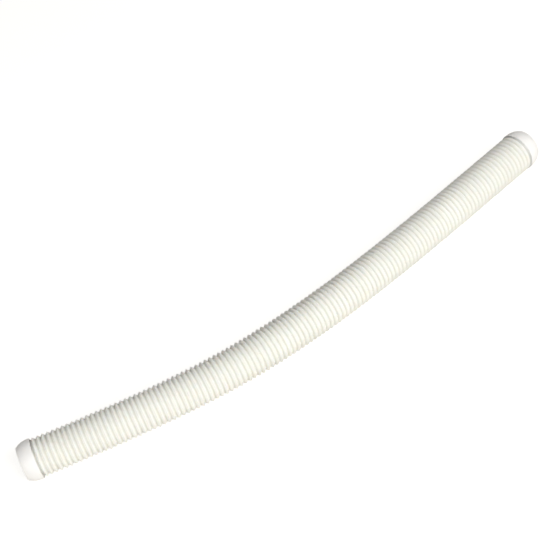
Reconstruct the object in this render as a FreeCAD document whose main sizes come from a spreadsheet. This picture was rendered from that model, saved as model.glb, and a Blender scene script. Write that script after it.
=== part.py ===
import FreeCAD, Part
import math
import os
import re
import Sketcher

# Corrugated vacuum hose for a pool or spa, lying on a floor at z = 0.
# One end has a swivel cuff, which turns on a ferrule bonded into the hose. The other cuff is fixed.
# Lengths are millimetres. The ends of the hose lie along X and its belly is towards -Y.

document = FreeCAD.newDocument("vacuum_hose")
sheet = document.addObject("Spreadsheet::Sheet", "sizes")

SIZES = [
    # the hose wall
    ("rib_radius", 25.5),
    ("rib_depth", 3.5),
    ("hose_wall", 1.2),
    ("rib_count", 118),
    ("crest_width", 2.0),
    ("floor_flat", 0.5),
    # what both cuffs share
    ("socket_radius", 19.2),
    ("socket_wall", 1.2),
    ("socket_lead", 0.6),
    ("rim_land", 1.2),
    ("cuff_length", 19.2),
    ("cuff_straight", 3.2),
    ("cuff_wall", 1.9),
    ("nose_wall", 5.3),
    # the ferrules, which are bonded into the hose's bore
    ("sleeve_length", 24.0),
    ("sleeve_wall", 1.1),
    ("bond_gap", 0.1),
    ("neck_step", 1.9),
    ("neck_clearance", 0.2),
    ("step_depth", 1.2),
    ("step_clearance", 0.3),
    ("spigot_wall", 2.3),
    ("end_clearance", 0.3),
    ("slot_clearance", 0.3),
    # the swivel
    ("swivel_gap", 0.8),
    ("fixed_gap", 0.1),
    ("running_clearance", 0.1),
    ("flange_thickness", 1.2),
    ("skirt_wall", 1.6),
    ("skirt_clearance", 0.3),
    ("washer_thickness", 0.8),
    ("thrust_clearance", 0.2),
    ("ring_offset", 1.6),
    ("ring_thickness", 1.2),
    ("ring_height", 1.9),
    ("ring_bite", 0.9),
    ("groove_clearance", 0.1),
    ("ring_opening", 20.0),
    ("seal_offset", 1.6),
    ("seal_width", 1.6),
    ("seal_height", 1.2),
    ("seal_clearance", 0.1),
    ("seal_chamfer", 0.3),
]
for row, (alias, value) in enumerate(SIZES, start=1):
    sheet.set("A%d" % row, alias)
    sheet.set("B%d" % row, str(value))
    sheet.setAlias("B%d" % row, alias)

# Sizes that follow from the driving ones.
FOLLOWING = [
    # outwards from the hose's bore
    ("root_radius", "rib_radius - rib_depth"),
    ("bore_radius", "root_radius - hose_wall"),
    ("sleeve_radius", "bore_radius - bond_gap"),
    ("ferrule_bore", "sleeve_radius - sleeve_wall"),
    ("neck_radius", "sleeve_radius + neck_step"),
    # outwards from the socket
    ("socket_outside", "socket_radius + socket_wall"),
    ("spigot_bore", "socket_outside + slot_clearance"),
    ("spigot_radius", "spigot_bore + spigot_wall"),
    ("bonded_radius", "spigot_radius + bond_gap"),
    ("running_radius", "spigot_radius + running_clearance"),
    ("seal_outside", "running_radius - seal_clearance"),
    ("seal_inside", "seal_outside - seal_height"),
    ("ring_outside", "running_radius + ring_bite"),
    ("ring_inside", "ring_outside - ring_height"),
    ("ring_groove", "ring_outside + skirt_clearance"),
    ("cuff_radius", "ring_groove + cuff_wall"),
    ("skirt_radius", "cuff_radius - skirt_wall"),
    ("flange_radius", "skirt_radius - skirt_clearance"),
    ("rim_radius", "socket_radius + socket_lead + rim_land"),
    # along the axis, from the hose's end to the rim
    ("socket_back", "step_depth + step_clearance"),
    ("neck_length", "swivel_gap - neck_clearance"),
    ("flange_front", "neck_length + flange_thickness"),
    ("washer_front", "flange_front + washer_thickness"),
    ("shoulder", "washer_front + thrust_clearance"),
    ("ring_back", "washer_front + ring_offset"),
    ("ring_front", "ring_back + ring_thickness"),
    ("seal_back", "ring_front + seal_offset"),
    ("seal_front", "seal_back + seal_width"),
    ("swivel_rim", "swivel_gap + cuff_length"),
    ("swivel_slot_end", "swivel_rim - nose_wall"),
    ("swivel_spigot_end", "swivel_slot_end - end_clearance"),
    ("fixed_rim", "fixed_gap + cuff_length"),
    ("fixed_slot_end", "fixed_rim - nose_wall"),
    ("fixed_spigot_end", "fixed_slot_end - bond_gap"),
]
for row, (alias, formula) in enumerate(FOLLOWING, start=1):
    sheet.set("D%d" % row, alias)
    sheet.set("E%d" % row, "=" + formula)
    sheet.setAlias("E%d" % row, alias)
document.recompute()


def size(alias):
    """A size from the sheet."""
    return float(sheet.get(alias))


# The route of the hose's axis on the floor, seen from above, from the swivel end to the fixed end.
ROUTE = [
    (-373.6, 26.6),
    (-284.1, -0.4),
    (-155.2, -26.9),
    (-68.2, -33.1),
    (18.4, -29.6),
    (102.8, -19.4),
    (189.8, -4.9),
    (283.7, 11.9),
    (375.7, 30.6),
]
ARC_SHARE = 0.45
HELD_POINTS = 2

# The hose lies on the flats of its ribs. The cuffs are thicker and rest on the floor too, so they
# hold the run at each end at their own height.
lying_height = size("rib_radius") - size("floor_flat")
held_height = max(size("cuff_radius"), lying_height)
corners = []
for index, (along_x, along_y) in enumerate(ROUTE):
    held = index < HELD_POINTS or index >= len(ROUTE) - HELD_POINTS
    corners.append(FreeCAD.Vector(along_x, along_y, held_height if held else lying_height))


def rounded_route(points):
    """Straight runs joined by tangent arcs, each arc as large as its two runs allow."""
    pieces = []
    start = points[0]
    for before, corner, after in zip(points, points[1:], points[2:]):
        run_in = corner - before
        run_out = after - corner
        way_in = FreeCAD.Vector(run_in).normalize()
        way_out = FreeCAD.Vector(run_out).normalize()
        turn = way_in.getAngle(way_out)
        reach = ARC_SHARE * min(run_in.Length, run_out.Length)
        radius = reach / math.tan(turn / 2)
        arc_start = corner - way_in * reach
        arc_end = corner + way_out * reach
        inward = (way_out - way_in).normalize()
        centre = corner + inward * math.hypot(radius, reach)
        middle = centre - inward * radius
        pieces.append(Part.LineSegment(start, arc_start).toShape())
        pieces.append(Part.Arc(arc_start, middle, arc_end).toShape())
        print("bend radius %.0f mm" % radius)
        start = arc_end
    pieces.append(Part.LineSegment(start, points[-1]).toShape())
    return pieces


route_edges = rounded_route(corners)
route_length = sum(edge.Length for edge in route_edges)
print("hose length %.1f mm" % route_length)


def place_on_route(distance):
    """The point on the hose's axis at a distance from the swivel end, and the axis's direction there."""
    for edge in route_edges:
        if distance <= edge.Length or edge is route_edges[-1]:
            parameter = edge.getParameterByLength(min(distance, edge.Length))
            return edge.valueAt(parameter), edge.tangentAt(parameter)
        distance -= edge.Length


def facing(point, direction):
    """A placement whose Z axis lies along the direction and whose X axis stays level."""
    level = FreeCAD.Vector(-direction.y, direction.x, 0).normalize()
    upward = direction.cross(level)
    return FreeCAD.Placement(point, FreeCAD.Rotation(level, upward, direction, "ZXY"))


def ring_wire(distance, radius):
    """A circle square to the route, with its seam always on the same side."""
    circle = Part.Circle(FreeCAD.Vector(0, 0, 0), FreeCAD.Vector(0, 0, 1), radius).toShape()
    circle.Placement = facing(*place_on_route(distance))
    return Part.Wire([circle])


def hose_shape():
    """The corrugated wall: V valleys and narrow crests outside, a plain bore, flats where it lies."""
    count = int(round(size("rib_count")))
    pitch = route_length / count
    slope = (pitch - size("crest_width")) / 2
    rings = [ring_wire(0, size("root_radius"))]
    for rib in range(count):
        back = rib * pitch
        rings.append(ring_wire(back + slope, size("rib_radius")))
        rings.append(ring_wire(back + pitch - slope, size("rib_radius")))
        rings.append(ring_wire(back + pitch, size("root_radius")))
    ribbed = Part.makeLoft(rings, True, True)
    spine = Part.Wire(route_edges)
    bore = spine.makePipeShell([ring_wire(0, size("bore_radius"))], True, False)
    tube = ribbed.cut(bore)
    box = ribbed.BoundBox
    depth = 2 * size("rib_radius")
    floor = Part.makeBox(box.XLength, box.YLength, depth, FreeCAD.Vector(box.XMin, box.YMin, -depth))
    print("rib pitch %.2f mm, bore volume %.0f of %.0f mm3" % (
        pitch, bore.Volume, math.pi * size("bore_radius") ** 2 * route_length))
    return tube.cut(floor)


hose = document.addObject("Part::Feature", "hose_body")
hose.Label = "hose_body"
hose.Shape = hose_shape()


def on_sheet(expression):
    """The same expression for use outside the sheet, with the sheet's name before each size."""
    return re.sub("[a-z_]+", "sizes.\\g<0>", expression)


def tangent_arc(start, finish):
    """An arc that leaves the start straight up the axis and bends inwards to the finish."""
    across = start.x - finish.x
    along = finish.y - start.y
    radius = (across ** 2 + along ** 2) / (2 * across)
    centre = FreeCAD.Vector(start.x - radius, start.y, 0)
    circle = Part.Circle(centre, FreeCAD.Vector(0, 0, 1), radius)
    return Part.ArcOfCircle(circle, 0, math.asin(along / radius))


def turned_piece(name, profile, placement, angle="360"):
    """A body turned about its Z axis from a closed profile, which runs anticlockwise.

    Each corner of the profile is a radius and a distance along the axis, written as sizes of the
    sheet. The side that leads to a corner marked "arc" is an arc, and the others are straight.
    """
    body = document.addObject("PartDesign::Body", name)
    body.Label = name
    plane = [item for item in body.Origin.OriginFeatures if item.Role == "XZ_Plane"][0]
    sketch = body.newObject("Sketcher::SketchObject", name + "_profile")
    sketch.AttachmentSupport = (plane, [""])
    sketch.MapMode = "FlatFace"
    total = len(profile)
    places = []
    for corner in profile:
        places.append(FreeCAD.Vector(sheet.evalExpression(corner[0]), sheet.evalExpression(corner[1]), 0))
    is_arc = ["arc" in profile[(side + 1) % total] for side in range(total)]
    for side in range(total):
        start = places[side]
        finish = places[(side + 1) % total]
        if is_arc[side]:
            sketch.addGeometry(tangent_arc(start, finish), False)
        else:
            sketch.addGeometry(Part.LineSegment(start, finish), False)
    for side in range(total):
        joint = "Tangent" if is_arc[side] else "Coincident"
        sketch.addConstraint(Sketcher.Constraint(joint, (side - 1) % total, 2, side, 1))
        radius_rule = sketch.addConstraint(
            Sketcher.Constraint("DistanceX", -1, 1, side, 1, places[side].x))
        along_rule = sketch.addConstraint(
            Sketcher.Constraint("DistanceY", -1, 1, side, 1, places[side].y))
        sketch.setExpression("Constraints[%d]" % radius_rule, on_sheet(profile[side][0]))
        sketch.setExpression("Constraints[%d]" % along_rule, on_sheet(profile[side][1]))
    turn = body.newObject("PartDesign::Revolution", name + "_turn")
    turn.Profile = sketch
    turn.ReferenceAxis = (sketch, ["V_Axis"])
    turn.setExpression("Angle", on_sheet(angle))
    body.Placement = placement
    return body


start_point, start_way = place_on_route(0)
end_point, end_way = place_on_route(route_length)
swivel_end = facing(start_point, start_way * -1)
fixed_end = facing(end_point, end_way)

# The swivel: its ferrule carries a flange, a groove for the retaining ring and one for the seal.
turned_piece("swivel_ferrule", [
    ("ferrule_bore", "-sleeve_length"),
    ("sleeve_radius", "-sleeve_length"),
    ("sleeve_radius", "0"),
    ("neck_radius", "0"),
    ("neck_radius", "neck_length"),
    ("flange_radius", "neck_length"),
    ("flange_radius", "flange_front"),
    ("spigot_radius", "flange_front"),
    ("spigot_radius", "ring_back - groove_clearance"),
    ("ring_inside - groove_clearance", "ring_back - groove_clearance"),
    ("ring_inside - groove_clearance", "ring_front + groove_clearance"),
    ("spigot_radius", "ring_front + groove_clearance"),
    ("spigot_radius", "seal_back - groove_clearance"),
    ("seal_inside - groove_clearance", "seal_back - groove_clearance"),
    ("seal_inside - groove_clearance", "seal_front + groove_clearance"),
    ("spigot_radius", "seal_front + groove_clearance"),
    ("spigot_radius", "swivel_spigot_end"),
    ("spigot_bore", "swivel_spigot_end"),
    ("spigot_bore", "step_depth"),
    ("ferrule_bore", "step_depth"),
], swivel_end)

turned_piece("swivel_thrust_washer", [
    ("running_radius", "flange_front"),
    ("flange_radius", "flange_front"),
    ("flange_radius", "washer_front"),
    ("running_radius", "washer_front"),
], swivel_end)

turned_piece("swivel_retaining_ring", [
    ("ring_inside", "ring_back"),
    ("ring_outside", "ring_back"),
    ("ring_outside", "ring_front"),
    ("ring_inside", "ring_front"),
], swivel_end, "360 - ring_opening")

turned_piece("swivel_seal", [
    ("seal_inside + seal_chamfer", "seal_back"),
    ("seal_outside - seal_chamfer", "seal_back"),
    ("seal_outside", "seal_back + seal_chamfer"),
    ("seal_outside", "seal_front - seal_chamfer"),
    ("seal_outside - seal_chamfer", "seal_front"),
    ("seal_inside + seal_chamfer", "seal_front"),
    ("seal_inside", "seal_front - seal_chamfer"),
    ("seal_inside", "seal_back + seal_chamfer"),
], swivel_end)

turned_piece("swivel_cuff", [
    ("skirt_radius", "swivel_gap"),
    ("cuff_radius", "swivel_gap"),
    ("cuff_radius", "swivel_gap + cuff_straight"),
    ("rim_radius", "swivel_rim", "arc"),
    ("socket_radius + socket_lead", "swivel_rim"),
    ("socket_radius", "swivel_rim - socket_lead"),
    ("socket_radius", "socket_back"),
    ("socket_outside", "socket_back"),
    ("socket_outside", "swivel_slot_end"),
    ("running_radius", "swivel_slot_end"),
    ("running_radius", "ring_front + thrust_clearance"),
    ("ring_groove", "ring_front + thrust_clearance"),
    ("ring_groove", "ring_back - thrust_clearance"),
    ("running_radius", "ring_back - thrust_clearance"),
    ("running_radius", "shoulder"),
    ("skirt_radius", "shoulder"),
], swivel_end)

# The fixed end has the same cuff outside, bonded to a plain ferrule.
turned_piece("fixed_ferrule", [
    ("ferrule_bore", "-sleeve_length"),
    ("sleeve_radius", "-sleeve_length"),
    ("sleeve_radius", "0"),
    ("spigot_radius", "0"),
    ("spigot_radius", "fixed_spigot_end"),
    ("spigot_bore", "fixed_spigot_end"),
    ("spigot_bore", "step_depth"),
    ("ferrule_bore", "step_depth"),
], fixed_end)

turned_piece("fixed_cuff", [
    ("bonded_radius", "fixed_gap"),
    ("cuff_radius", "fixed_gap"),
    ("cuff_radius", "fixed_gap + cuff_straight"),
    ("rim_radius", "fixed_rim", "arc"),
    ("socket_radius + socket_lead", "fixed_rim"),
    ("socket_radius", "fixed_rim - socket_lead"),
    ("socket_radius", "socket_back"),
    ("socket_outside", "socket_back"),
    ("socket_outside", "fixed_slot_end"),
    ("bonded_radius", "fixed_slot_end"),
], fixed_end)

document.recompute()

PIECES = [
    "hose_body",
    "swivel_ferrule",
    "swivel_thrust_washer",
    "swivel_retaining_ring",
    "swivel_seal",
    "swivel_cuff",
    "fixed_ferrule",
    "fixed_cuff",
]
for item in document.Objects:
    if "Invalid" in item.State or "Error" in item.State:
        raise RuntimeError("%s could not be built" % item.Name)
os.makedirs("parts", exist_ok=True)
for name in PIECES:
    piece = document.getObjectsByLabel(name)[0]
    if piece.Shape.isNull() or not piece.Shape.isValid() or len(piece.Shape.Solids) != 1:
        raise RuntimeError("%s is not one sound solid" % name)
    piece.Shape.exportStep("parts/%s.step" % name)
    box = piece.Shape.BoundBox
    print("%s: %.0f mm3, X %.2f to %.2f, Y %.2f to %.2f, Z %.2f to %.2f" % (
        name, piece.Shape.Volume, box.XMin, box.XMax, box.YMin, box.YMax, box.ZMin, box.ZMax))
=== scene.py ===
import math
import random

import bpy
import numpy as np
from mathutils import Matrix, Vector


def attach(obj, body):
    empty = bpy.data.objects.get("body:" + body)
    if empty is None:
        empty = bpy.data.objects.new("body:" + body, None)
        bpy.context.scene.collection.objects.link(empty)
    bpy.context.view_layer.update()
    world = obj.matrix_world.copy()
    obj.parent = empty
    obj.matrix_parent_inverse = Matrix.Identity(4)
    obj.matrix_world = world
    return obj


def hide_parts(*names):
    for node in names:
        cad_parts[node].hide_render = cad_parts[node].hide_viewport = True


# A corrugated pool vacuum hose on a pale floor. Lengths are metres, unless a name says otherwise.

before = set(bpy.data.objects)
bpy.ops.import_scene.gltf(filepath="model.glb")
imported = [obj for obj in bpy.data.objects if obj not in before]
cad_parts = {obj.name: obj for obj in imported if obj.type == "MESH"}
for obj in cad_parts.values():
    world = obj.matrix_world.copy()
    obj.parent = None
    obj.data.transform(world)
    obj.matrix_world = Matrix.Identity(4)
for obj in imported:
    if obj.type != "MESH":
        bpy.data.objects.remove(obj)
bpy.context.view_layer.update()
MM = 0.001
chance = random.Random(11)

# Sizes of the hose, as in the CAD part.
RIB_RADIUS = 25.5 * MM
RIB_DEPTH = 3.5 * MM
ROOT_RADIUS = RIB_RADIUS - RIB_DEPTH
HOSE_WALL = 1.2 * MM
BORE_RADIUS = ROOT_RADIUS - HOSE_WALL
RIB_COUNT = 118
FLOOR_FLAT = 0.5 * MM
CUFF_RADIUS = 26.2 * MM
CUFF_LENGTH = 19.2 * MM
CUFF_STRAIGHT = 3.2 * MM
RIM_RADIUS = 21.0 * MM
SOCKET_RADIUS = 19.2 * MM
SOCKET_WALL = 1.2 * MM
SOCKET_LEAD = 0.6 * MM
NOSE_WALL = 5.3 * MM
SOCKET_BACK = 1.5 * MM
RUNNING_RADIUS = 23.1 * MM
SKIRT_RADIUS = 24.6 * MM
SHOULDER = 2.8 * MM
RING_GROOVE_RADIUS = 24.3 * MM
RING_GROOVE = (4.0 * MM, 5.6 * MM)
SWIVEL_GAP = 0.8 * MM
FIXED_GAP = 0.1 * MM

# The route of the hose's axis, from the swivel end to the fixed end. The cuffs are thicker than the
# ribs and hold the axis higher at both ends.
HELD = CUFF_RADIUS
LYING = RIB_RADIUS - FLOOR_FLAT
ROUTE = [
    (-0.3736, 0.0266, HELD),
    (-0.2841, -0.0004, HELD),
    (-0.1552, -0.0269, LYING),
    (-0.0682, -0.0331, LYING),
    (0.0184, -0.0296, LYING),
    (0.1028, -0.0194, LYING),
    (0.1898, -0.0049, LYING),
    (0.2837, 0.0119, HELD),
    (0.3757, 0.0306, HELD),
]


def add_object(name, data):
    """A new object in the scene."""
    made = bpy.data.objects.new(name, data)
    bpy.context.scene.collection.objects.link(made)
    return made


# The camera and the light

FOCAL_PIXELS = 2000.0
PICTURE_PIXELS = 560.0
SENSOR = 36.0
CAMERA_PLACE = (-0.6961, -1.9195, 1.4916)
CAMERA_HEADING = math.radians(-19.698)
CAMERA_TILT = math.radians(55.25)
CAMERA_ROLL = math.radians(-20.62)
# The camera's fit counts pixels from their corners, so the picture moves half a pixel right and down.
HALF_PIXEL = 0.5 / PICTURE_PIXELS
NEAREST_SEEN = 0.05
FURTHEST_SEEN = 60
SKYLIGHT = (1.0, 0.955, 0.885, 1)
KEY_COLOUR = (1.0, 1.0, 0.985)
SIDE_COLOUR = (1.0, 0.98, 0.955)
FLOOR_HALF = 12.0
FLOOR_DROP = 0.0001
FLOOR_COLOUR = (0.84, 0.805, 0.75, 1)
FLOOR_GLOW = (0.95, 0.975, 1.0, 1)


def add_camera():
    """The camera of the photograph: heading from +Y, tilt up from straight down, then roll."""
    data = bpy.data.cameras.new("camera")
    data.sensor_width = SENSOR
    data.lens = FOCAL_PIXELS / PICTURE_PIXELS * SENSOR
    data.shift_x = -HALF_PIXEL
    data.shift_y = HALF_PIXEL
    data.clip_start = NEAREST_SEEN
    data.clip_end = FURTHEST_SEEN
    camera = add_object("camera", data)
    turned = Matrix.Rotation(CAMERA_HEADING, 4, "Z")
    tilted = Matrix.Rotation(CAMERA_TILT, 4, "X")
    rolled = Matrix.Rotation(CAMERA_ROLL, 4, "Z")
    camera.matrix_world = Matrix.Translation(CAMERA_PLACE) @ turned @ tilted @ rolled
    bpy.context.scene.camera = camera


def add_lamp(name, place, target, width, power, colour):
    """A square soft lamp that points at a target."""
    data = bpy.data.lights.new(name, "AREA")
    data.shape = "SQUARE"
    data.size = width
    data.energy = power
    data.color = colour
    lamp = add_object(name, data)
    lamp.location = place
    aim = Vector(target) - Vector(place)
    lamp.rotation_euler = aim.to_track_quat("-Z", "Y").to_euler()


def seen_or_reflected(nodes):
    """One where a ray comes from the camera, a reflection or a refraction, and nought elsewhere."""
    path = nodes.new("ShaderNodeLightPath")
    first = nodes.new("ShaderNodeMath")
    first.operation = "MAXIMUM"
    second = nodes.new("ShaderNodeMath")
    second.operation = "MAXIMUM"
    links = first.id_data.links
    links.new(path.outputs["Is Camera Ray"], first.inputs[0])
    links.new(path.outputs["Is Glossy Ray"], first.inputs[1])
    links.new(first.outputs[0], second.inputs[0])
    links.new(path.outputs["Is Transmission Ray"], second.inputs[1])
    return second.outputs[0]


def add_world(level):
    """Even soft light on the object, and plain white where the background itself is seen."""
    world = bpy.data.worlds.new("studio")
    bpy.context.scene.world = world
    world.use_nodes = True
    nodes = world.node_tree.nodes
    links = world.node_tree.links
    nodes.clear()
    soft = nodes.new("ShaderNodeBackground")
    soft.inputs["Color"].default_value = SKYLIGHT
    soft.inputs["Strength"].default_value = level
    white = nodes.new("ShaderNodeBackground")
    white.inputs["Strength"].default_value = 1.0
    mix = nodes.new("ShaderNodeMixShader")
    links.new(seen_or_reflected(nodes), mix.inputs[0])
    links.new(soft.outputs[0], mix.inputs[1])
    links.new(white.outputs[0], mix.inputs[2])
    out = nodes.new("ShaderNodeOutputWorld")
    links.new(mix.outputs[0], out.inputs["Surface"])


def add_floor(lift):
    """A white floor, lifted for the camera so that it reads as white and still takes the shadow."""
    mesh = bpy.data.meshes.new("floor")
    corners = [(x * FLOOR_HALF, y * FLOOR_HALF, 0) for x, y in ((-1, -1), (1, -1), (1, 1), (-1, 1))]
    mesh.from_pydata(corners, [], [(0, 1, 2, 3)])
    floor = add_object("floor", mesh)
    floor.location.z = -FLOOR_DROP
    material = bpy.data.materials.new("floor")
    material.use_nodes = True
    nodes = material.node_tree.nodes
    links = material.node_tree.links
    nodes.clear()
    matt = nodes.new("ShaderNodeBsdfDiffuse")
    matt.inputs["Color"].default_value = FLOOR_COLOUR
    glow = nodes.new("ShaderNodeEmission")
    glow.inputs["Color"].default_value = FLOOR_GLOW
    scale = nodes.new("ShaderNodeMath")
    scale.operation = "MULTIPLY"
    scale.inputs[1].default_value = lift
    links.new(seen_or_reflected(nodes), scale.inputs[0])
    links.new(scale.outputs[0], glow.inputs["Strength"])
    both = nodes.new("ShaderNodeAddShader")
    links.new(matt.outputs[0], both.inputs[0])
    links.new(glow.outputs[0], both.inputs[1])
    out = nodes.new("ShaderNodeOutputMaterial")
    links.new(both.outputs[0], out.inputs["Surface"])
    mesh.materials.append(material)


# The route as a smooth line

ROUTE_STEPS = 96


def smooth_route():
    """Points, directions and lengths along the hose's axis, read from its NURBS spline."""
    data = bpy.data.curves.new("hose_route", "CURVE")
    data.dimensions = "3D"
    data.resolution_u = ROUTE_STEPS
    spline = data.splines.new("NURBS")
    spline.points.add(len(ROUTE) - 1)
    for point, place in zip(spline.points, ROUTE):
        point.co = (*place, 1)
    spline.order_u = 3
    spline.use_endpoint_u = True
    holder = add_object("hose_route", data)
    bpy.context.view_layer.update()
    line = bpy.data.meshes.new_from_object(holder)
    points = np.array([tuple(v.co) for v in line.vertices])
    bpy.data.objects.remove(holder)
    steps = np.linalg.norm(np.diff(points, axis=0), axis=1)
    lengths = np.concatenate([[0.0], np.cumsum(steps)])
    ways = np.gradient(points, lengths, axis=0)
    ways /= np.linalg.norm(ways, axis=1)[:, None]
    return points, ways, lengths


class Axis:
    """The hose's axis: where it is, and its level and upward directions, at any length along it."""

    def __init__(self):
        self.points, self.ways, self.lengths = smooth_route()
        self.length = self.lengths[-1]

    def at(self, distance):
        """Place, way along the axis, level direction and upward direction at a distance."""
        place = np.array([np.interp(distance, self.lengths, self.points[:, k]) for k in range(3)])
        way = np.array([np.interp(distance, self.lengths, self.ways[:, k]) for k in range(3)])
        way /= np.linalg.norm(way)
        level = np.array([-way[1], way[0], 0.0])
        level /= np.linalg.norm(level)
        return place, way, level, np.cross(way, level)


def mesh_from(name, points, faces):
    """A smooth mesh object from points and faces."""
    mesh = bpy.data.meshes.new(name)
    mesh.from_pydata([tuple(p) for p in points], [], faces)
    mesh.update()
    mesh.polygons.foreach_set("use_smooth", [True] * len(mesh.polygons))
    return add_object(name, mesh)


def bridge(faces, first, second, count, inward=False):
    """Faces between two rings, given by the index of their first points."""
    for k in range(count):
        following = (k + 1) % count
        face = (first + k, first + following, second + following, second + k)
        faces.append(face[::-1] if inward else face)


# The hose wall

SEGMENTS = 112
ANGLES = np.linspace(0, 2 * math.pi, SEGMENTS, endpoint=False)
CREST_UNEVENNESS = 0.10 * MM
OUT_OF_ROUND = 0.5 * CREST_UNEVENNESS
PITCH_UNEVENNESS = 0.12 * MM
LINING_RINGS = 6
LINING_DEPTH = RIB_DEPTH * 0.9
# Places within a rib, as shares of the pitch from valley to valley.
RIB_STEPS = (0.0, 0.03, 0.09, 0.17, 0.26, 0.35, 0.43, 0.5, 0.57, 0.65, 0.74, 0.83, 0.91, 0.97)
# How much of a rib's outline is a plain V. The rest is a half wave.
POINTED = 0.95
# How far the wall's ends stand above the bottom of a valley. At the fixed end it swells to meet the cuff.
SWIVEL_END_RISE = 1.8 * MM
FIXED_END_RISE = 3.9 * MM


def rib_height(share):
    """Height of the rib's outline, from 0 in the valley to 1 at the crest."""
    rise = 1 - abs(2 * share - 1)
    rounded = math.sin(math.pi / 2 * rise)
    return POINTED * rise + (1 - POINTED) * rounded


def rib_rows(axis):
    """The rings of the outside: distance, radius at each angle, and height from valley to crest."""
    pitch = axis.length / RIB_COUNT
    crest_changes = [chance.uniform(-1, 1) * CREST_UNEVENNESS for _ in range(RIB_COUNT)]
    wobbles = [chance.uniform(0, 2 * math.pi) for _ in range(RIB_COUNT)]
    shifts = [0.0] + [chance.uniform(-1, 1) * PITCH_UNEVENNESS for _ in range(RIB_COUNT - 1)] + [0.0]
    rows = []
    for rib in range(RIB_COUNT):
        start = rib * pitch + shifts[rib]
        finish = (rib + 1) * pitch + shifts[rib + 1]
        wave = np.cos(2 * ANGLES + wobbles[rib]) * OUT_OF_ROUND
        unevenness = crest_changes[rib] - CREST_UNEVENNESS + wave
        for share in RIB_STEPS:
            height = rib_height(share)
            radius = ROOT_RADIUS + RIB_DEPTH * height + height * unevenness
            rows.append((start + (finish - start) * share, radius, height))
    rows[0] = (0.0, ROOT_RADIUS + SWIVEL_END_RISE, SWIVEL_END_RISE / RIB_DEPTH)
    rows.append((axis.length, ROOT_RADIUS + FIXED_END_RISE, FIXED_END_RISE / RIB_DEPTH))
    return rows


def lining_rows(axis):
    """The rings of the bore, which follows the ribs one wall further in: distance and radius."""
    pitch = axis.length / RIB_COUNT
    rows = []
    for rib in range(RIB_COUNT):
        for step in range(LINING_RINGS):
            share = step / LINING_RINGS
            rows.append(((rib + share) * pitch, BORE_RADIUS + LINING_DEPTH * rib_height(share)))
    rows.append((axis.length, BORE_RADIUS))
    return rows


def ring_points(axis, distance, radius):
    """The points of one ring. The radius is one number, or one for each angle."""
    place, way, level, upward = axis.at(distance)
    around = np.outer(np.cos(ANGLES), level) + np.outer(np.sin(ANGLES), upward)
    return place + np.reshape(radius, (-1, 1)) * around


def build_hose(axis):
    """The corrugated wall with its corrugated bore, as one closed mesh that follows the axis."""
    points = []
    heights = []
    outside = rib_rows(axis)
    for distance, radius, height in outside:
        ring = ring_points(axis, distance, radius)
        ring[:, 2] = np.maximum(ring[:, 2], 0.0)
        points.append(ring)
        heights.extend([height] * SEGMENTS)
    # The bore takes height nought, so the material gives it the full painted valley shade and dirt.
    for distance, radius in lining_rows(axis):
        points.append(ring_points(axis, distance, radius))
        heights.extend([0.0] * SEGMENTS)
    starts = [row * SEGMENTS for row in range(len(points))]
    outer = starts[:len(outside)]
    inner = starts[len(outside):]
    faces = []
    for first, second in zip(outer, outer[1:]):
        bridge(faces, first, second, SEGMENTS, inward=True)
    for first, second in zip(inner, inner[1:]):
        bridge(faces, first, second, SEGMENTS)
    bridge(faces, outer[0], inner[0], SEGMENTS)
    bridge(faces, outer[-1], inner[-1], SEGMENTS, inward=True)
    hose = mesh_from("hose", np.concatenate(points), faces)
    attribute = hose.data.attributes.new("rib_height", "FLOAT", "POINT")
    attribute.data.foreach_set("value", np.array(heights, np.float32))
    return hose


# The cuffs

LATHE_SEGMENTS = 192
SHARP_ANGLE = math.radians(50)
EDGE = 0.35 * MM
EDGE_STEPS = 5
# A rounded edge takes up no more than this share of the side beside it.
EDGE_SHARE = 0.45
NOSE_STEPS = 28


def nose_outline(start, rim):
    """The rounded nose, an arc that leaves the straight wall and bends in to the rim."""
    across = start[0] - rim[0]
    along = rim[1] - start[1]
    radius = (across ** 2 + along ** 2) / (2 * across)
    sweep = math.asin(along / radius)
    outline = []
    for step in range(NOSE_STEPS + 1):
        turn = sweep * step / NOSE_STEPS
        outline.append((start[0] - radius * (1 - math.cos(turn)), start[1] + radius * math.sin(turn)))
    return outline


def eased(outline, corners, size):
    """The outline with the named corners rounded off."""
    made = []
    total = len(outline)
    for index, corner in enumerate(outline):
        if corner not in corners:
            made.append(corner)
            continue
        here = Vector(corner)
        before = Vector(outline[index - 1])
        after = Vector(outline[(index + 1) % total])
        first = here + (before - here).normalized() * min(size, (before - here).length * EDGE_SHARE)
        last = here + (after - here).normalized() * min(size, (after - here).length * EDGE_SHARE)
        for step in range(EDGE_STEPS + 1):
            share = step / EDGE_STEPS
            blend = first.lerp(here, share).lerp(here.lerp(last, share), share)
            made.append(tuple(blend))
    return made


def lathe(name, outline, place, way):
    """A closed outline of radius and distance, turned about an axis."""
    axis = Vector(way).normalized()
    level = Vector((-axis.y, axis.x, 0)).normalized()
    upward = axis.cross(level)
    points = []
    for radius, along in outline:
        for k in range(LATHE_SEGMENTS):
            angle = 2 * math.pi * k / LATHE_SEGMENTS
            side = level * math.cos(angle) + upward * math.sin(angle)
            points.append(Vector(place) + axis * along + side * radius)
    faces = []
    total = len(outline)
    for row in range(total):
        bridge(faces, row * LATHE_SEGMENTS, ((row + 1) % total) * LATHE_SEGMENTS, LATHE_SEGMENTS)
    made = mesh_from(name, points, faces)
    made.data.set_sharp_from_angle(angle=SHARP_ANGLE)
    return made


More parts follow.
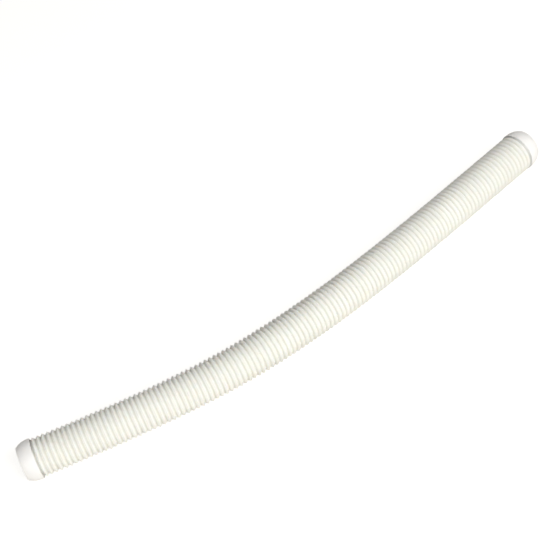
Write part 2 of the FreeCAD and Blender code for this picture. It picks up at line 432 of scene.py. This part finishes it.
def cuff_outline(gap, inside):
    """The outline shared by both cuffs, from the skirt's mouth round the outside to the slot."""
    rim = gap + CUFF_LENGTH
    skirt = inside[0][0]
    outside = [(CUFF_RADIUS, gap)] + nose_outline((CUFF_RADIUS, gap + CUFF_STRAIGHT), (RIM_RADIUS, rim))
    socket = [
        (SOCKET_RADIUS + SOCKET_LEAD, rim),
        (SOCKET_RADIUS, rim - SOCKET_LEAD),
        (SOCKET_RADIUS, SOCKET_BACK),
        (SOCKET_RADIUS + SOCKET_WALL, SOCKET_BACK),
        (SOCKET_RADIUS + SOCKET_WALL, rim - NOSE_WALL),
    ]
    outline = [(skirt, gap)] + outside + socket + inside[1:]
    shown = [(CUFF_RADIUS, gap), (skirt, gap), outside[-1], *socket[:4]]
    return eased(outline, shown, EDGE)


def build_swivel_cuff(axis):
    """The left cuff, with the groove of its retaining ring and its running shoulder."""
    place, way = axis.at(0)[:2]
    rim = SWIVEL_GAP + CUFF_LENGTH
    inside = [
        (SKIRT_RADIUS, SWIVEL_GAP),
        (RUNNING_RADIUS, rim - NOSE_WALL),
        (RUNNING_RADIUS, RING_GROOVE[1]),
        (RING_GROOVE_RADIUS, RING_GROOVE[1]),
        (RING_GROOVE_RADIUS, RING_GROOVE[0]),
        (RUNNING_RADIUS, RING_GROOVE[0]),
        (RUNNING_RADIUS, SHOULDER),
        (SKIRT_RADIUS, SHOULDER),
    ]
    return lathe("swivel_cuff_shell", cuff_outline(SWIVEL_GAP, inside), place, -way)


def build_fixed_cuff(axis):
    """The right cuff, bonded on."""
    place, way = axis.at(axis.length)[:2]
    rim = FIXED_GAP + CUFF_LENGTH
    inside = [
        (RUNNING_RADIUS, FIXED_GAP),
        (RUNNING_RADIUS, rim - NOSE_WALL),
    ]
    return lathe("fixed_cuff_shell", cuff_outline(FIXED_GAP, inside), place, way)


# Materials

# The sockets that a mix node uses for colours, among those of its other kinds of data.
MIX_SHARE, MIX_FIRST, MIX_LAST = 0, 6, 7
MIX_RESULT = 2


class Nodes:
    """A short way to write a material's nodes."""

    def __init__(self, name):
        self.material = bpy.data.materials.new(name)
        self.material.use_nodes = True
        self.tree = self.material.node_tree
        self.shader = self.tree.nodes["Principled BSDF"]

    def new(self, kind, **settings):
        node = self.tree.nodes.new(kind)
        for key, value in settings.items():
            setattr(node, key, value)
        return node

    def link(self, source, target):
        self.tree.links.new(source, target)

    def noise(self, scale, detail=4.0, roughness=0.55):
        """Noise over the object's own coordinates. Scale is in cycles to the metre."""
        place = self.new("ShaderNodeTexCoord")
        node = self.new("ShaderNodeTexNoise")
        node.inputs["Scale"].default_value = scale
        node.inputs["Detail"].default_value = detail
        node.inputs["Roughness"].default_value = roughness
        self.link(place.outputs["Object"], node.inputs["Vector"])
        return node.outputs["Fac"]

    def ramp(self, source, low, high, first, last):
        """The source's range low to high, mapped to first to last."""
        node = self.new("ShaderNodeMapRange")
        node.inputs["From Min"].default_value = low
        node.inputs["From Max"].default_value = high
        node.inputs["To Min"].default_value = first
        node.inputs["To Max"].default_value = last
        self.link(source, node.inputs["Value"])
        return node.outputs["Result"]

    def mix(self, share, first, last):
        """Two colours mixed; each is a colour or a socket."""
        node = self.new("ShaderNodeMix", data_type="RGBA")
        for index, value in ((MIX_SHARE, share), (MIX_FIRST, first), (MIX_LAST, last)):
            socket = node.inputs[index]
            if isinstance(value, bpy.types.NodeSocket):
                self.link(value, socket)
            elif isinstance(value, float):
                socket.default_value = value
            else:
                socket.default_value = (*value, 1)
        return node.outputs[MIX_RESULT]

    def bump(self, source, distance, before=None):
        """A bump whose height is in metres, on top of another where one is given."""
        node = self.new("ShaderNodeBump")
        node.inputs["Distance"].default_value = distance
        node.inputs["Strength"].default_value = 1.0
        self.link(source, node.inputs["Height"])
        if before is not None:
            self.link(before, node.inputs["Normal"])
        return node.outputs["Normal"]


def hose_material():
    """Soft cream plastic, warmer and darker in the valleys, with painted shade and a little dirt."""
    made = Nodes("hose_wall")
    height = made.new("ShaderNodeAttribute", attribute_name="rib_height").outputs["Fac"]
    blotches = made.noise(14.0, 3.0)
    specks = made.noise(900.0, 6.0, 0.7)
    cream = made.mix(made.ramp(blotches, 0.35, 0.65, 0.0, 1.0), (0.87, 0.87, 0.835), (0.90, 0.90, 0.87))
    # Painted shade with a little dirt: the valleys and the bore are darkened to a greyer cream.
    valley_shade_and_dirt = made.mix(made.ramp(height, 0.0, 0.55, 1.0, 0.0), cream, (0.74, 0.735, 0.67))
    colour = made.mix(made.ramp(specks, 0.66, 0.80, 0.0, 0.35), valley_shade_and_dirt, (0.70, 0.66, 0.58))
    made.link(colour, made.shader.inputs["Base Color"])
    made.link(made.ramp(made.noise(260.0), 0.3, 0.7, 0.42, 0.58), made.shader.inputs["Roughness"])
    made.shader.inputs["Subsurface Weight"].default_value = 0.25
    made.shader.inputs["Subsurface Radius"].default_value = (1.0, 0.72, 0.5)
    made.shader.inputs["Subsurface Scale"].default_value = 2.0 * MM
    made.shader.inputs["Specular IOR Level"].default_value = 0.4
    fine = made.bump(made.noise(1800.0, 5.0), 0.03 * MM)
    broad = made.bump(made.noise(120.0, 3.0), 0.25 * MM, fine)
    made.link(broad, made.shader.inputs["Normal"])
    return made.material


def cuff_material():
    """Harder neutral white plastic."""
    made = Nodes("cuff")
    blotches = made.noise(45.0, 4.0)
    scuffs = made.noise(600.0, 6.0, 0.75)
    white = made.mix(made.ramp(blotches, 0.35, 0.65, 0.0, 1.0), (0.885, 0.885, 0.885), (0.91, 0.91, 0.91))
    colour = made.mix(made.ramp(scuffs, 0.66, 0.82, 0.0, 0.3), white, (0.76, 0.74, 0.71))
    made.link(colour, made.shader.inputs["Base Color"])
    made.link(made.ramp(made.noise(300.0), 0.3, 0.7, 0.34, 0.52), made.shader.inputs["Roughness"])
    made.shader.inputs["Subsurface Weight"].default_value = 0.15
    made.shader.inputs["Subsurface Radius"].default_value = (1.0, 0.9, 0.8)
    made.shader.inputs["Subsurface Scale"].default_value = 1.5 * MM
    fine = made.bump(made.noise(1500.0, 5.0), 0.02 * MM)
    made.link(made.bump(made.noise(90.0, 2.0), 0.2 * MM, fine), made.shader.inputs["Normal"])
    return made.material


def plain_material(name, light, dark, rough, grain, metal=0.0):
    """A moulded, cut or rolled finish for the inner pieces. Grain is in cycles to the metre."""
    made = Nodes(name)
    colour = made.mix(made.ramp(made.noise(grain), 0.35, 0.65, 0.0, 1.0), light, dark)
    made.link(colour, made.shader.inputs["Base Color"])
    made.link(made.ramp(made.noise(grain * 3), 0.3, 0.7, rough * 0.85, rough * 1.15),
              made.shader.inputs["Roughness"])
    made.shader.inputs["Metallic"].default_value = metal
    made.link(made.bump(made.noise(grain * 8, 5.0), 0.03 * MM), made.shader.inputs["Normal"])
    return made.material


def dress(piece, material):
    """Gives a piece or CAD node one material all over."""
    piece.data.materials.clear()
    piece.data.materials.append(material)


add_camera()
add_world(0.27)
add_floor(0.67)
add_lamp("key", place=(0.1, -2.4, 1.2), target=(0, 0, 0.02), width=1.5, power=54, colour=KEY_COLOUR)
add_lamp("left", place=(-2.4, -0.9, 0.8), target=(-0.2, 0, 0.02), width=1.2, power=15, colour=SIDE_COLOUR)
add_lamp("right", place=(2.4, -0.5, 0.9), target=(0.2, 0, 0.02), width=1.2, power=11, colour=SIDE_COLOUR)

hose_axis = Axis()
hose = build_hose(hose_axis)
dress(hose, hose_material())
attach(hose, "hose")
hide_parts("hose_body")

white = cuff_material()
swivel = build_swivel_cuff(hose_axis)
dress(swivel, white)
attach(swivel, "swivel_end")
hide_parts("swivel_cuff")

fixed = build_fixed_cuff(hose_axis)
dress(fixed, white)
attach(fixed, "hose")
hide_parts("fixed_cuff")

ferrule = plain_material("ferrule", (0.78, 0.77, 0.74), (0.72, 0.71, 0.67), 0.45, 80.0)
dress(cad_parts["swivel_ferrule"], ferrule)
dress(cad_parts["fixed_ferrule"], ferrule)
dress(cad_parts["swivel_thrust_washer"],
      plain_material("washer", (0.86, 0.86, 0.84), (0.80, 0.80, 0.78), 0.4, 200.0))
dress(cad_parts["swivel_retaining_ring"],
      plain_material("ring", (0.60, 0.60, 0.61), (0.50, 0.50, 0.51), 0.32, 400.0, 1.0))
dress(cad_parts["swivel_seal"],
      plain_material("seal", (0.03, 0.03, 0.03), (0.05, 0.05, 0.05), 0.6, 300.0))

bpy.context.scene.view_settings.view_transform = "Standard"
